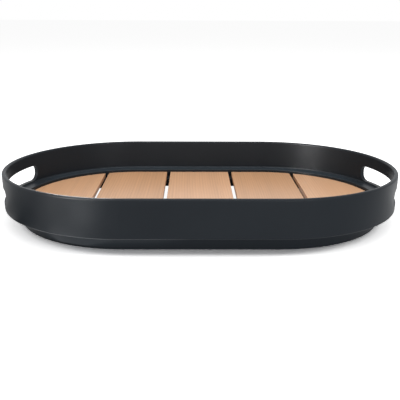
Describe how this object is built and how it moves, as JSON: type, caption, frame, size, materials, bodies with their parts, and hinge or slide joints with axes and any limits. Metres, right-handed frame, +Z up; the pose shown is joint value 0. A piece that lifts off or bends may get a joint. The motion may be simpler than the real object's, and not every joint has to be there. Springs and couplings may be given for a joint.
{
  "type": "serving tray",
  "caption": "Oval serving tray: a dark moulded shell with an upright wall, hand slots in its ends and a recessed plinth, floored with spaced hardwood boards.",
  "frame": {"origin": "on the table, under the middle of the tray", "axes": "+X along the tray to its right end, +Y from the front to the back, +Z up"},
  "size_m": [0.5, 0.324, 0.0645],
  "materials": {
    "shell": "satin moulded plastic, charcoal with a faint blue cast",
    "boards": "sanded light hardwood, oiled, grain running front to back",
    "screws": "plain zinc-plated steel"
  },
  "bodies": {
    "root": {"tray_shell": "shell", "left_end_board": "boards", "left_board": "boards", "centre_board": "boards", "right_board": "boards", "right_end_board": "boards", "left_end_board_screws": "screws", "left_board_screws": "screws", "centre_board_screws": "screws", "right_board_screws": "screws", "right_end_board_screws": "screws"}
  },
  "joints": []
}
